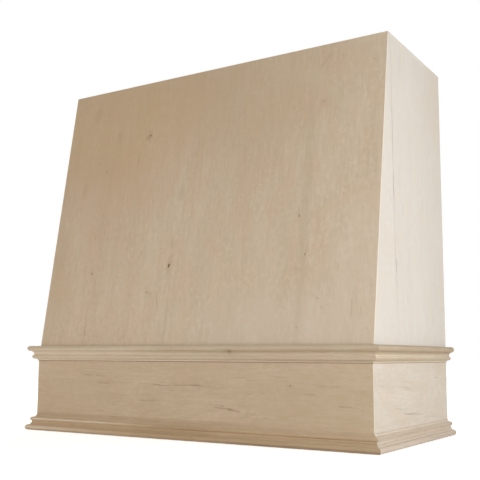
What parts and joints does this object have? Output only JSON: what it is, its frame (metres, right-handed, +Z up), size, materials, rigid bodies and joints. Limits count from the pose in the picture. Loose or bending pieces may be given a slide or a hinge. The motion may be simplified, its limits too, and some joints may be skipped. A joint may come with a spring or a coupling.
{
  "type": "range hood cover",
  "caption": "Wall-hung wooden casing for a kitchen range hood: leaning plywood front over a solid apron with mitred mouldings, open below and behind.",
  "frame": {"origin": "middle of the footprint, on the bottom edge", "axes": "+X along the wall, to the right as seen from the front; +Y into the wall; +Z up"},
  "size_m": [0.9556, 0.4778, 0.8953],
  "materials": {
    "maple_board": "unfinished maple, sanded",
    "maple_veneer": "unfinished maple veneer, sanded",
    "maple_moulding": "unfinished maple, machined",
    "birch_plywood": "unfinished birch plywood",
    "poplar_strip": "unfinished poplar, sawn",
    "zinc_screw": "yellow zinc plate",
    "bright_brad": "bright steel",
    "beech_biscuit": "pressed beech"
  },
  "bodies": {
    "root": {"apron_front": "maple_board", "apron_left": "maple_board", "apron_right": "maple_board", "front_panel": "maple_veneer", "left_side_panel": "maple_veneer", "right_side_panel": "maple_veneer", "upper_moulding_front": "maple_moulding", "upper_moulding_left": "maple_moulding", "upper_moulding_right": "maple_moulding", "lower_moulding_front": "maple_moulding", "lower_moulding_left": "maple_moulding", "lower_moulding_right": "maple_moulding", "top_panel": "birch_plywood", "hanging_rail": "birch_plywood", "apron_back_rail": "birch_plywood", "ledger_front": "poplar_strip", "ledger_back": "poplar_strip", "ledger_left": "poplar_strip", "ledger_right": "poplar_strip", "joint_cleat_front": "poplar_strip", "joint_cleat_left": "poplar_strip", "joint_cleat_right": "poplar_strip", "top_cleat_front": "poplar_strip", "top_cleat_left": "poplar_strip", "top_cleat_right": "poplar_strip", "corner_block_left": "poplar_strip", "corner_block_right": "poplar_strip", "corner_strip_left": "poplar_strip", "corner_strip_right": "poplar_strip", "ledger_screws": "zinc_screw", "joint_cleat_screws": "zinc_screw", "top_cleat_screws": "zinc_screw", "top_panel_screws": "zinc_screw", "rail_pocket_screws": "zinc_screw", "upper_moulding_brads": "bright_brad", "lower_moulding_brads": "bright_brad", "apron_mitre_biscuits": "beech_biscuit", "panel_mitre_biscuits": "beech_biscuit"}
  },
  "joints": []
}
